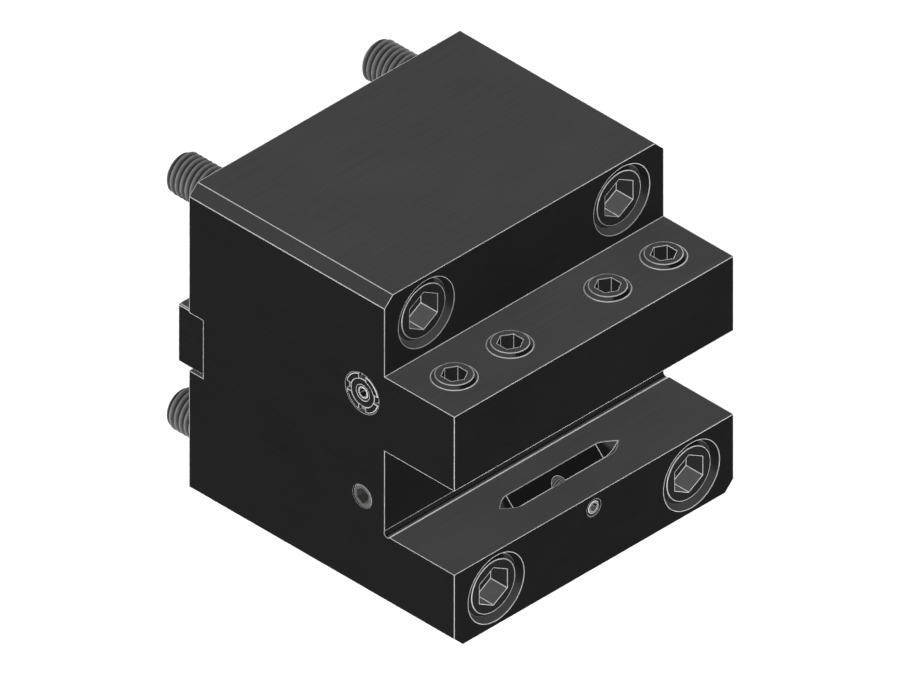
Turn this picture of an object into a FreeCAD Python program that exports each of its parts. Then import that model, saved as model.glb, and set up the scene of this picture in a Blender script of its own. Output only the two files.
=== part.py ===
# Turret tool holder for a square-shank turning tool, clamped on a lathe turret by four bolts.
#
# Frame: the origin is the centre of the flat mounting face. +Y points into the turret, +Z is up
# and +X runs along the tool slot, to the right as seen from the front. Sizes are millimetres.
import FreeCAD, Part
import os
import Sketcher

# Every driving dimension: its name in the sheet, its value, and what it measures.
SIZES = [
    ("body_width", 100, "block, along the tool slot"),
    ("body_height", 96, "block, bottom face to top face"),
    ("block_depth", 70, "block, mounting face to the wall above the upper jaw"),
    ("jaw_depth", 25, "both jaws, front of the block to that wall"),
    ("lower_jaw_height", 23, "bottom face to the slot floor"),
    ("slot_height", 26, "tool slot, floor to the underside of the upper jaw"),
    ("upper_jaw_height", 23, "upper jaw, underside to top"),
    ("edge_chamfer", 3, "chamfer on the four long edges"),
    ("relief_radius", 1.1, "relief groove in the slot's inner corner"),
    ("relief_forward", 1.0, "relief centre, in front of the slot's back wall"),
    ("relief_rise", 0.7, "relief centre, above the slot floor"),
    ("groove_length", 32, "coolant groove in the slot floor, between its cutter centres"),
    ("groove_depth", 3, "coolant groove, a right-angled vee"),
    ("groove_cutter_radius", 6, "disc cutter that leaves the groove's pointed ends"),
    ("pilot_diameter", 65, "round pilot that centres the block in the turret"),
    ("pilot_land", 5, "pilot wall between the mounting face and its seal groove"),
    ("pilot_end_land", 1, "pilot wall between its seal groove and its bevel"),
    ("pilot_bevel", 1, "bevel on the pilot's end"),
    ("pilot_seal_section", 2.3, "pilot seal, as squeezed in its groove"),
    ("pilot_seal_cover", 0.1, "pilot seal below the pilot's wall"),
    ("pilot_seal_play", 0.7, "pilot groove wider than its seal"),
    ("pilot_flange_width", 1, "pilot's flange, outside the pilot, a side"),
    ("pilot_flange_thickness", 5, "pilot's flange"),
    ("pilot_flange_sink", 0.2, "flange below the mounting face"),
    ("pilot_flange_fit", 0.01, "between the flange and its recess, a side"),
    ("bolt_spacing_across", 70, "mounting bolts, left to right"),
    ("bolt_spacing_up", 73, "mounting bolts, lower to upper"),
    ("bolt_diameter", 12, "mounting bolt thread"),
    ("shank_relief", 0.175, "mounting bolt shank inside the block, under the thread's radius"),
    ("bolt_reach", 18, "mounting bolt, proud of the mounting face"),
    ("bolt_tip_bevel", 1, "bevel on the bolt's tip"),
    ("bolt_head_diameter", 18, "mounting bolt head"),
    ("bolt_head_height", 12, "mounting bolt head"),
    ("bolt_head_bevel", 1.25, "bevel round the head's face"),
    ("bolt_socket", 10, "hexagon socket in the bolt, across flats"),
    ("bolt_socket_depth", 6, "hexagon socket in the bolt"),
    ("bolt_recess", 1, "head face below the surface round it"),
    ("bolt_hole_clearance", 0.75, "round the bolt, a side"),
    ("counterbore_clearance", 1, "round the bolt head, a side"),
    ("clamp_diameter", 12, "clamping screw thread"),
    ("clamp_length", 25, "clamping screw"),
    ("clamp_bevel", 1, "bevel on both ends of the clamping screw"),
    ("clamp_socket", 6, "hexagon socket in the clamping screw, across flats"),
    ("clamp_socket_depth", 6, "hexagon socket in the clamping screw"),
    ("clamp_proud", 1, "clamping screw above the jaw with a full-size shank clamped"),
    ("clamp_side_inset", 12.5, "outer clamping screws inside the side faces"),
    ("clamp_pitch", 20, "inner clamping screws from the outer ones"),
    ("tapping_clearance", 0.05, "between a screw's crests and its tapped hole, a side"),
    ("channel_inset", 8, "coolant channels behind the slot's back wall"),
    ("channel_diameter", 5, "upright channel and the channel from the inlet"),
    ("side_channel_diameter", 4, "cross channels and the feed to the groove"),
    ("inlet_diameter", 8, "coolant inlet in the pilot"),
    ("inlet_seal_section", 2, "inlet seal"),
    ("inlet_seal_offset", 3, "inlet seal's centre line outside the inlet's wall"),
    ("inlet_seal_play", 0.4, "inlet groove wider than its seal"),
    ("inlet_seal_proud", 0.2, "inlet seal, proud of the pilot's end"),
    ("shutoff_diameter", 5, "coolant shut-off screw"),
    ("shutoff_length", 20, "coolant shut-off screw"),
    ("shutoff_drop", 4, "shut-off screw below the slot floor"),
    ("shutoff_recess", 0.1, "shut-off screw below the front face"),
    ("shutoff_bevel", 0.7, "bevel on the shut-off screw"),
    ("small_socket", 2.5, "shut-off and nozzle screws' hexagon socket, across flats"),
    ("small_socket_depth", 2.5, "shut-off and nozzle screws' hexagon socket"),
    ("plug_diameter", 6.8, "channel plug"),
    ("plug_length", 8, "channel plug"),
    ("plug_bevel", 0.3, "bevel on the channel plug"),
    ("plug_socket", 4, "hexagon socket in the plug, across flats"),
    ("plug_socket_depth", 4, "hexagon socket in the plug"),
    ("plug_recess", 0.2, "plug below the face it closes"),
    ("plug_hole_spare", 1.5, "plug hole, deeper than the plug"),
    ("side_channel_drop", 17, "plugged cross channel below the turret axis"),
    ("nozzle_rise", 15, "nozzles above the turret axis"),
    ("ring_wall", 1, "ring nut outside the nozzle ball, a side"),
    ("ring_skirt", 0.5, "ring nut, past the ball's centre"),
    ("ring_bevel", 0.4, "bevel round the ring nut"),
    ("notch_width", 2.5, "the ring nut's four spanner notches"),
    ("notch_depth", 1.2, "the ring nut's four spanner notches"),
    ("ball_diameter", 10, "nozzle ball"),
    ("ball_depth", 3, "ball centre behind the side face"),
    ("ball_recess", 0.2, "ball's flat face behind the side face"),
    ("ball_back_flat", 4, "ball centre to its back flat"),
    ("ball_bore", 3, "coolant bore through the ball"),
    ("ball_running_clearance", 0.05, "between the ball and its seat"),
    ("ball_pocket_clearance", 0.2, "between the ball and the pocket behind the ring, a side"),
    ("ball_well_diameter", 6.4, "well behind the ledge, for the tilted ball"),
    ("ball_well_depth", 1.0, "well behind the ledge"),
    ("ball_seal_section", 1.5, "seal behind the ball"),
    ("ball_seal_clearance", 0.05, "between that seal and the pocket's wall"),
    ("ball_screw_diameter", 4.6, "screw that closes the ball's bore, as wide as it shows"),
    ("ball_screw_length", 5, "screw that closes the ball's bore"),
    ("ball_screw_bevel", 0.6, "bevel on that screw"),
    ("ball_screw_recess", 0.05, "that screw below the ball's flat face"),
    ("ball_tap_spare", 0.1, "tapped hole in the ball, deeper than its screw"),
    ("key_width", 18, "locating key"),
    ("key_pilot_gap", 2, "between the key's inner end and the pilot's flange"),
    ("key_thickness", 10, "locating key, along Y"),
    ("key_bevel", 0.35, "bevel round the key's outer face and along its four corners"),
    ("key_inset", 0.9, "key's outer end inside the side face"),
    ("keyway_depth", 5, "keyway in the mounting face"),
    ("keyway_end_gap", 0.5, "keyway past the key's inner end"),
    ("key_screw_diameter", 4, "key screw"),
    ("key_screw_length", 12, "key screw under its head"),
    ("key_screw_head_diameter", 7, "key screw head"),
    ("key_screw_head_height", 4, "key screw head"),
    ("key_screw_bevel", 0.4, "bevels on the key screw"),
    ("key_screw_socket", 3, "hexagon socket in the key screw, across flats"),
    ("key_screw_socket_depth", 2, "hexagon socket in the key screw"),
    ("key_screw_recess", 0.5, "key screw head below the key's face"),
    ("key_screw_clearance", 0.25, "round the key screw and its head, a side"),
    ("key_tap_spare", 2, "tapped hole, deeper than the key screw"),
]

doc = FreeCAD.newDocument("TurretToolHolder")
sheet = doc.addObject("Spreadsheet::Sheet", "Sizes")
for row, (alias, size, meaning) in enumerate(SIZES, start=1):
    sheet.set(f"A{row}", meaning)
    sheet.set(f"B{row}", str(size))
    sheet.setAlias(f"B{row}", alias)
doc.recompute()

# Places worked out from the driving dimensions, as expressions in the row's frame.
TOP = "(Sizes.body_height / 2)"
BOTTOM = "(-Sizes.body_height / 2)"
LEFT = "(-Sizes.body_width / 2)"
WALL = "(-Sizes.block_depth)"
FRONT = "(-Sizes.block_depth - Sizes.jaw_depth)"
JAW_MIDDLE = "(-Sizes.block_depth - Sizes.jaw_depth / 2)"
SLOT_FLOOR = f"({BOTTOM} + Sizes.lower_jaw_height)"
SLOT_CEILING = f"({SLOT_FLOOR} + Sizes.slot_height)"
JAW_TOP = f"({SLOT_CEILING} + Sizes.upper_jaw_height)"
CHANNEL = "(Sizes.channel_inset - Sizes.block_depth)"
SHUTOFF_HEIGHT = f"({SLOT_FLOOR} - Sizes.shutoff_drop)"
BOLT_ACROSS = "(-Sizes.bolt_spacing_across / 2)"
BOLT_LEVELS = {
    "upper": (WALL, "(Sizes.bolt_spacing_up / 2)"),
    "lower": (FRONT, "(-Sizes.bolt_spacing_up / 2)"),
}
CLAMP_ACROSS = {
    "outer": f"({LEFT} + Sizes.clamp_side_inset)",
    "inner": f"({LEFT} + Sizes.clamp_side_inset + Sizes.clamp_pitch)",
}
FLANGE_RADIUS = "(Sizes.pilot_diameter / 2 + Sizes.pilot_flange_width)"
FLANGE_BASE = "(-Sizes.pilot_flange_sink - Sizes.pilot_flange_thickness)"
KEY_OUTER_END = f"({LEFT} + Sizes.key_inset)"
KEY_INNER_END = f"(-{FLANGE_RADIUS} - Sizes.key_pilot_gap)"
KEY_MIDDLE = f"(({KEY_OUTER_END} + {KEY_INNER_END}) / 2)"
KEY_PROUD = "(Sizes.key_thickness - Sizes.keyway_depth)"
KEY_COUNTERBORE_DEPTH = "(Sizes.key_screw_recess + Sizes.key_screw_head_height)"
KEY_SCREW_TIP = f"({KEY_PROUD} - {KEY_COUNTERBORE_DEPTH} - Sizes.key_screw_length)"
PILOT_GROOVE_END = "(Sizes.pilot_land + Sizes.pilot_seal_section + Sizes.pilot_seal_play)"
PILOT_LENGTH = f"({PILOT_GROOVE_END} + Sizes.pilot_end_land + Sizes.pilot_bevel)"
PILOT_GROOVE_FLOOR = (
    "(Sizes.pilot_diameter / 2 - Sizes.pilot_seal_section - Sizes.pilot_seal_cover)"
)
INLET_SEAL_RADIUS = "(Sizes.inlet_diameter / 2 + Sizes.inlet_seal_offset)"
INLET_GROOVE_DEPTH = "(Sizes.inlet_seal_section - Sizes.inlet_seal_proud)"
RING_RADIUS = "(Sizes.ball_diameter / 2 + Sizes.ring_wall)"
RING_THICKNESS = "(Sizes.ball_depth + Sizes.ring_skirt)"

# Radii that a hole or a seat shares with the piece in it.
CLAMP_HOLE = "(Sizes.clamp_diameter / 2 + Sizes.tapping_clearance)"
SHUTOFF_HOLE = "(Sizes.shutoff_diameter / 2 + Sizes.tapping_clearance)"
BALL_SCREW_HOLE = "(Sizes.ball_screw_diameter / 2 + Sizes.tapping_clearance)"
PLUG_HOLE = "(Sizes.plug_diameter / 2 + Sizes.tapping_clearance)"
RING_HOLE = f"({RING_RADIUS} + Sizes.tapping_clearance)"
KEY_SCREW_HOLE = "(Sizes.key_screw_diameter / 2 + Sizes.tapping_clearance)"
BALL_SEAT = "(Sizes.ball_diameter / 2 + Sizes.ball_running_clearance)"
BALL_POCKET = "(Sizes.ball_diameter / 2 + Sizes.ball_pocket_clearance)"

# The seal behind a ball lies in the corner between the pocket's wall and its ledge and only just
# misses the ball. From the ball's centre to the centre of the seal's section is the long side of a
# right triangle: the seal's own radius is one short side, and its depth behind the ball the other.
BALL_SEAL_RADIUS = f"({BALL_POCKET} - Sizes.ball_seal_clearance - Sizes.ball_seal_section / 2)"
BALL_SEAL_REACH = f"({BALL_SEAT} + Sizes.ball_seal_section / 2)"
BALL_SEAL_DROP = (
    f"sqrt({BALL_SEAL_REACH} * {BALL_SEAL_REACH} - {BALL_SEAL_RADIUS} * {BALL_SEAL_RADIUS})"
)


def number(expression):
    """The present value of an expression."""
    return float(sheet.evalExpression(str(expression)))


def negative(expression):
    """The same length the other way."""
    return f"(-1 * {expression})"


def bind(thing, **expressions):
    """Tie properties of an object to expressions; a double underscore stands for a dot."""
    for name, expression in expressions.items():
        thing.setExpression(name.replace("__", "."), str(expression))


def new_body(name):
    """An empty body, labelled with the sub-part's name."""
    body = doc.addObject("PartDesign::Body", name)
    body.Label = name
    return body


def origin_plane(body, role):
    """One of the body's own origin planes."""
    return next(plane for plane in body.Origin.OriginFeatures if plane.Role == role)


def sketch_on(body, name, role, across="0", up="0", lift="0"):
    """A sketch on an origin plane; its own origin moved across, up and off the plane."""
    sketch = body.newObject("Sketcher::SketchObject", f"{body.Name}_{name}")
    sketch.AttachmentSupport = [(origin_plane(body, role), "")]
    sketch.MapMode = "FlatFace"
    bind(
        sketch,
        AttachmentOffset__Base__x=across,
        AttachmentOffset__Base__y=up,
        AttachmentOffset__Base__z=lift,
    )
    return sketch


def hold_size(sketch, constraint, name, expression):
    """Add a constraint of the sketch and tie its size to an expression."""
    index = sketch.addConstraint(constraint)
    sketch.renameConstraint(index, name)
    sketch.setExpression(f"Constraints.{name}", str(expression))


def hold_point(sketch, shape, point, across, up):
    """Hold a point of the sketch at two distances from the sketch's origin."""
    along_x = Sketcher.Constraint("DistanceX", -1, 1, shape, point, number(across))
    along_y = Sketcher.Constraint("DistanceY", -1, 1, shape, point, number(up))
    hold_size(sketch, along_x, f"across_{shape}", across)
    hold_size(sketch, along_y, f"up_{shape}", up)


def draw_outline(sketch, corners):
    """A closed outline of straight lines through corners given as pairs of expressions."""
    first = sketch.GeometryCount
    points = [FreeCAD.Vector(number(across), number(up), 0) for across, up in corners]
    for start, end in zip(points, points[1:] + points[:1]):
        sketch.addGeometry(Part.LineSegment(start, end), False)
    for n, (across, up) in enumerate(corners):
        after = first + (n + 1) % len(corners)
        sketch.addConstraint(Sketcher.Constraint("Coincident", first + n, 2, after, 1))
        hold_point(sketch, first + n, 1, across, up)


def draw_rectangle(sketch, left, right, low, high):
    """A rectangle between four expressions."""
    draw_outline(sketch, [(left, low), (right, low), (right, high), (left, high)])


def draw_circle(sketch, radius, across="0", up="0"):
    """A circle whose centre and radius are expressions."""
    centre = FreeCAD.Vector(number(across), number(up), 0)
    circle = Part.Circle(centre, FreeCAD.Vector(0, 0, 1), number(radius))
    shape = sketch.addGeometry(circle, False)
    hold_size(sketch, Sketcher.Constraint("Radius", shape, number(radius)), f"radius_{shape}", radius)
    hold_point(sketch, shape, 3, across, up)


def draw_hexagon(sketch, across_flats):
    """A hexagon about the sketch's origin with a corner straight up."""
    corner = f"({across_flats} / 2 / cos(30))"
    side = f"({across_flats} / 2)"
    half = f"({corner} / 2)"
    draw_outline(
        sketch,
        [
            ("0", corner),
            (negative(side), half),
            (negative(side), negative(half)),
            ("0", negative(corner)),
            (side, negative(half)),
            (side, half),
        ],
    )


def pad(body, sketch, length, symmetric=False, reversed_way=False):
    """Material along the sketch's normal."""
    feature = body.newObject("PartDesign::Pad", f"{sketch.Name}_pad")
    feature.Profile = sketch
    feature.SideType = "Symmetric" if symmetric else "One side"
    feature.Reversed = reversed_way
    bind(feature, Length=length)
    return feature


def pocket(body, sketch, length=None, symmetric=False, reversed_way=False):
    """A cut against the sketch's normal, right through where no length is given."""
    feature = body.newObject("PartDesign::Pocket", f"{sketch.Name}_cut")
    feature.Profile = sketch
    feature.SideType = "Symmetric" if symmetric else "One side"
    feature.Reversed = reversed_way
    if length is None:
        feature.Type = "ThroughAll"
    else:
        bind(feature, Length=length)
    return feature


def turn(body, sketch, axis="V_Axis", cut=False):
    """A full turn of the sketch about one of its own axes, as material or as a cut."""
    kind = "PartDesign::Groove" if cut else "PartDesign::Revolution"
    feature = body.newObject(kind, f"{sketch.Name}_turn")
    feature.Profile = sketch
    feature.ReferenceAxis = (sketch, [axis])
    feature.Angle = 360
    return feature


def draw_steps(sketch, steps, side=1, along_x=False):
    """Half the section of a stepped bore from (radius, end) pairs, starting at the sketch's origin.

    side is the way along the axis; along_x puts the axis on the sketch's horizontal.
    """
    corners = [("0", "0")]
    start = "0"
    for radius, end in steps:
        corners += [(radius, start), (radius, end)]
        start = end
    corners.append(("0", start))
    signed = [(radius, end if side > 0 else negative(end)) for radius, end in corners]
    draw_outline(sketch, [(end, radius) for radius, end in signed] if along_x else signed)


def stand(body, x="0", y="0", z="0", outward=(0, 0, 1), up=(0, 1, 0)):
    """Place a piece so that its own +Z points outward and its own +Y points up."""
    z_way, y_way = FreeCAD.Vector(*outward), FreeCAD.Vector(*up)
    rotation = FreeCAD.Rotation(y_way.cross(z_way), y_way, z_way)
    body.Placement = FreeCAD.Placement(FreeCAD.Vector(), rotation)
    bind(body, Placement__Base__x=x, Placement__Base__y=y, Placement__Base__z=z)


# Ways that pieces face.
FORWARD = {"outward": (0, -1, 0), "up": (0, 0, 1)}
BACKWARD = {"outward": (0, 1, 0), "up": (0, 0, 1)}
DOWNWARD = {"outward": (0, 0, -1), "up": (0, 1, 0)}
SIDEWAYS = {
    "left": {"outward": (-1, 0, 0), "up": (0, 0, 1)},
    "right": {"outward": (1, 0, 0), "up": (0, 0, 1)},
}


def mirrored_x(side, expression):
    """A place on the left side, or its mirror on the right."""
    return expression if side == "left" else negative(expression)


def build_holder_body():
    """The block: jaws, slot, bolt holes, keyways, pilot recess and the drilled coolant channels."""
    body = new_body("holder_body")

    side_view = sketch_on(body, "side_view", "YZ_Plane")
    draw_outline(
        side_view,
        [
            ("0", BOTTOM),
            ("0", TOP),
            (WALL, TOP),
            (WALL, JAW_TOP),
            (FRONT, JAW_TOP),
            (FRONT, SLOT_CEILING),
            (WALL, SLOT_CEILING),
            (WALL, SLOT_FLOOR),
            (FRONT, SLOT_FLOOR),
            (FRONT, BOTTOM),
        ],
    )
    pad(body, side_view, "Sizes.body_width", symmetric=True)

    relief = sketch_on(body, "slot_relief", "YZ_Plane")
    relief_height = f"({SLOT_FLOOR} + Sizes.relief_rise)"
    draw_circle(relief, "Sizes.relief_radius", f"({WALL} - Sizes.relief_forward)", relief_height)
    pocket(body, relief, "2 * Sizes.body_width", symmetric=True)

    # A right-angled vee, straight between two disc-cutter runouts.
    vee = sketch_on(body, "groove_vee", "YZ_Plane", JAW_MIDDLE, SLOT_FLOOR)
    draw_outline(
        vee,
        [
            ("0", "-Sizes.groove_depth"),
            ("2 * Sizes.groove_depth", "Sizes.groove_depth"),
            ("-2 * Sizes.groove_depth", "Sizes.groove_depth"),
        ],
    )
    pocket(body, vee, "Sizes.groove_length", symmetric=True)
    cutter_height = f"({SLOT_FLOOR} - Sizes.groove_depth + Sizes.groove_cutter_radius)"
    cutter_place = ("-Sizes.groove_length / 2", JAW_MIDDLE, cutter_height)
    cutter = sketch_on(body, "groove_end", "XY_Plane", *cutter_place)
    draw_outline(
        cutter,
        [
            ("0", "-Sizes.groove_cutter_radius"),
            ("Sizes.groove_cutter_radius", "0"),
            ("0", "Sizes.groove_cutter_radius"),
        ],
    )
    groove_end_cut = turn(body, cutter, cut=True)

    # One corner triangle each, from the front right through to the mounting face.
    lefts = [groove_end_cut]
    for name, edge, inner in (
        ("upper_chamfer", TOP, f"({TOP} - Sizes.edge_chamfer)"),
        ("lower_chamfer", BOTTOM, f"({BOTTOM} + Sizes.edge_chamfer)"),
    ):
        corner = sketch_on(body, name, "XZ_Plane", lift=negative(FRONT))
        draw_outline(
            corner, [(LEFT, edge), (f"({LEFT} + Sizes.edge_chamfer)", edge), (LEFT, inner)]
        )
        lefts.append(pocket(body, corner))

    # Mounting bolts: the upper pair starts at the wall over the jaw, the lower pair at the front.
    counterbore_depth = "(Sizes.bolt_head_height + Sizes.bolt_recess)"
    for level, (seat, height) in BOLT_LEVELS.items():
        place = (BOLT_ACROSS, height, negative(seat))
        counterbore = sketch_on(body, f"{level}_counterbore", "XZ_Plane", *place)
        draw_circle(counterbore, "Sizes.bolt_head_diameter / 2 + Sizes.counterbore_clearance")
        lefts.append(pocket(body, counterbore, counterbore_depth))
        hole = sketch_on(body, f"{level}_bolt_hole", "XZ_Plane", *place)
        draw_circle(hole, "Sizes.bolt_diameter / 2 + Sizes.bolt_hole_clearance")
        lefts.append(pocket(body, hole))

    clamps = sketch_on(body, "clamp_holes", "XY_Plane", lift=JAW_TOP)
    for across in CLAMP_ACROSS.values():
        draw_circle(clamps, CLAMP_HOLE, across, JAW_MIDDLE)
    lefts.append(pocket(body, clamps, "Sizes.upper_jaw_height + Sizes.slot_height / 4"))

    # Keyway, open to the side face, with the key screw's tapped hole in its floor.
    keyway = sketch_on(body, "keyway", "XZ_Plane")
    keyway_end = f"({KEY_INNER_END} + Sizes.keyway_end_gap)"
    half_width = "(Sizes.key_width / 2)"
    draw_rectangle(keyway, f"(2 * {LEFT})", keyway_end, negative(half_width), half_width)
    lefts.append(pocket(body, keyway, "Sizes.keyway_depth", reversed_way=True))
    tapped = sketch_on(body, "key_screw_hole", "XY_Plane", KEY_MIDDLE)
    tapped_end = f"({KEY_SCREW_TIP} - Sizes.key_tap_spare)"
    draw_rectangle(tapped, "0", KEY_SCREW_HOLE, tapped_end, "0")
    lefts.append(turn(body, tapped, cut=True))

    # Nozzle pocket, from the side face in to the upright channel.
    nozzle = sketch_on(body, "nozzle_pocket", "XY_Plane", LEFT, CHANNEL, "Sizes.nozzle_rise")
    ledge = f"(Sizes.ball_depth + {BALL_SEAL_DROP} + Sizes.ball_seal_section / 2)"
    cross_bore = ("Sizes.side_channel_diameter / 2", "Sizes.body_width / 2")
    draw_steps(
        nozzle,
        [
            (RING_HOLE, RING_THICKNESS),
            (BALL_POCKET, ledge),
            ("Sizes.ball_well_diameter / 2", f"({ledge} + Sizes.ball_well_depth)"),
            cross_bore,
        ],
        along_x=True,
    )
    lefts.append(turn(body, nozzle, "H_Axis", cut=True))

    side_place = (LEFT, CHANNEL, "-Sizes.side_channel_drop")
    side_channel = sketch_on(body, "side_channel", "XY_Plane", *side_place)
    plug_hole_depth = "(Sizes.plug_length + Sizes.plug_hole_spare)"
    draw_steps(side_channel, [(PLUG_HOLE, plug_hole_depth), cross_bore], along_x=True)
    lefts.append(turn(body, side_channel, "H_Axis", cut=True))

    mirror = body.newObject("PartDesign::Mirrored", "holder_body_right_side")
    mirror.Originals = lefts
    mirror.MirrorPlane = (origin_plane(body, "YZ_Plane"), [""])
    body.Tip = mirror

    # Upright channel, drilled from below and stopped just above the nozzles.
    upright = sketch_on(body, "upright_channel", "XZ_Plane", "0", BOTTOM, negative(CHANNEL))
    upright_end = f"(Sizes.nozzle_rise + Sizes.channel_diameter / 2 - {BOTTOM})"
    draw_steps(upright, [(PLUG_HOLE, plug_hole_depth), ("Sizes.channel_diameter / 2", upright_end)])
    turn(body, upright, cut=True)

    # Feed to the groove: tapped for the shut-off screw, then a plain channel.
    feed = sketch_on(body, "groove_feed", "XY_Plane", "0", FRONT, SHUTOFF_HEIGHT)
    tapped_length = "(Sizes.shutoff_recess + Sizes.shutoff_length + 1)"
    feed_length = f"({CHANNEL} - {FRONT})"
    cross_radius = "Sizes.side_channel_diameter / 2"
    draw_steps(feed, [(SHUTOFF_HOLE, tapped_length), (cross_radius, feed_length)])
    turn(body, feed, cut=True)

    # Recess for the pilot's flange, and the channel from it to the upright one.
    recess = sketch_on(body, "pilot_recess", "XY_Plane")
    recess_radius = f"({FLANGE_RADIUS} + Sizes.pilot_flange_fit)"
    feed_end = negative(CHANNEL)
    recess_steps = [(recess_radius, negative(FLANGE_BASE)), ("Sizes.channel_diameter / 2", feed_end)]
    draw_steps(recess, recess_steps, side=-1)
    turn(body, recess, cut=True)


def build_pilot():
    """The turned pilot: a grooved disc, bored through, whose flange is sunk in the mounting face."""
    body = new_body("locating_pilot")
    wall = "(Sizes.pilot_diameter / 2)"
    shoulder = "-Sizes.pilot_flange_sink"
    bore = "(Sizes.inlet_diameter / 2)"
    half_groove = "((Sizes.inlet_seal_section + Sizes.inlet_seal_play) / 2)"
    groove_outer = f"({INLET_SEAL_RADIUS} + {half_groove})"
    groove_inner = f"({INLET_SEAL_RADIUS} - {half_groove})"
    face_groove_floor = f"({PILOT_LENGTH} - {INLET_GROOVE_DEPTH})"
    section = sketch_on(body, "section", "XZ_Plane")
    draw_outline(
        section,
        [
            (bore, FLANGE_BASE),
            (FLANGE_RADIUS, FLANGE_BASE),
            (FLANGE_RADIUS, shoulder),
            (wall, shoulder),
            (wall, "Sizes.pilot_land"),
            (PILOT_GROOVE_FLOOR, "Sizes.pilot_land"),
            (PILOT_GROOVE_FLOOR, PILOT_GROOVE_END),
            (wall, PILOT_GROOVE_END),
            (wall, f"({PILOT_LENGTH} - Sizes.pilot_bevel)"),
            (f"({wall} - Sizes.pilot_bevel)", PILOT_LENGTH),
            (groove_outer, PILOT_LENGTH),
            (groove_outer, face_groove_floor),
            (groove_inner, face_groove_floor),
            (groove_inner, PILOT_LENGTH),
            (bore, PILOT_LENGTH),
        ],
    )
    turn(body, section)
    stand(body, **BACKWARD)


def build_screw(name, outline, socket, socket_depth):
    """A turned screw about its own Z, its face at z = 0, with a hexagon socket in the face."""
    body = new_body(name)
    section = sketch_on(body, "section", "XZ_Plane")
    draw_outline(section, outline)
    turn(body, section)
    hexagon = sketch_on(body, "socket", "XY_Plane")
    draw_hexagon(hexagon, socket)
    pocket(body, hexagon, socket_depth)
    return body


def headless_outline(diameter, length, bevel):
    """Half the section of a screw with no head, bevelled at both ends."""
    radius = f"({diameter} / 2)"
    small = f"({radius} - {bevel})"
    return [
        ("0", "0"),
        (small, "0"),
        (radius, f"-{bevel}"),
        (radius, f"({bevel} - {length})"),
        (small, f"-{length}"),
        ("0", f"-{length}"),
    ]


def build_mounting_bolts():
    """Four socket head bolts: each runs from its counterbore out of the mounting face."""
    head = "(Sizes.bolt_head_diameter / 2)"
    head_face = f"({head} - Sizes.bolt_head_bevel)"
    thread = "(Sizes.bolt_diameter / 2)"
    shank = f"({thread} - Sizes.shank_relief)"
    for level, (seat, height) in BOLT_LEVELS.items():
        face = f"({seat} + Sizes.bolt_recess)"
        tip = f"({face} - Sizes.bolt_reach)"
        for side in ("left", "right"):
            outline = [
                ("0", "0"),
                (head_face, "0"),
                (head, "-Sizes.bolt_head_bevel"),
                (head, "-Sizes.bolt_head_height"),
                (shank, "-Sizes.bolt_head_height"),
                (shank, face),
                (thread, face),
                (thread, f"({tip} + Sizes.bolt_tip_bevel)"),
                (f"({thread} - Sizes.bolt_tip_bevel)", tip),
                ("0", tip),
            ]
            name = f"{level}_mounting_bolt_{side}"
            bolt = build_screw(name, outline, "Sizes.bolt_socket", "Sizes.bolt_socket_depth")
            stand(bolt, mirrored_x(side, BOLT_ACROSS), face, height, **FORWARD)


def build_clamp_screws():
    """Four headless screws through the upper jaw that press on the tool shank."""
    outline = headless_outline("Sizes.clamp_diameter", "Sizes.clamp_length", "Sizes.clamp_bevel")
    for side in ("left", "right"):
        for row, across in CLAMP_ACROSS.items():
            name = f"clamp_screw_{row}_{side}"
            screw = build_screw(name, outline, "Sizes.clamp_socket", "Sizes.clamp_socket_depth")
            face = f"({JAW_TOP} + Sizes.clamp_proud)"
            stand(screw, mirrored_x(side, across), JAW_MIDDLE, face)


def build_shutoff_screw():
    """The headless screw that closes the feed to the coolant groove."""
    outline = headless_outline(
        "Sizes.shutoff_diameter", "Sizes.shutoff_length", "Sizes.shutoff_bevel"
    )
    screw = build_screw(
        "coolant_shutoff_screw", outline, "Sizes.small_socket", "Sizes.small_socket_depth"
    )
    stand(screw, "0", f"({FRONT} + Sizes.shutoff_recess)", SHUTOFF_HEIGHT, **FORWARD)


def build_channel_plugs():
    """Plugs in the mouths of the drilled channels: one each side and one underneath."""
    outline = headless_outline("Sizes.plug_diameter", "Sizes.plug_length", "Sizes.plug_bevel")
    for name in ("left", "right", "bottom"):
        plug = build_screw(
            f"channel_plug_{name}", outline, "Sizes.plug_socket", "Sizes.plug_socket_depth"
        )
        if name == "bottom":
            stand(plug, "0", CHANNEL, f"({BOTTOM} + Sizes.plug_recess)", **DOWNWARD)
        else:
            x = mirrored_x(name, f"({LEFT} + Sizes.plug_recess)")
            stand(plug, x, CHANNEL, "-Sizes.side_channel_drop", **SIDEWAYS[name])


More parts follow.
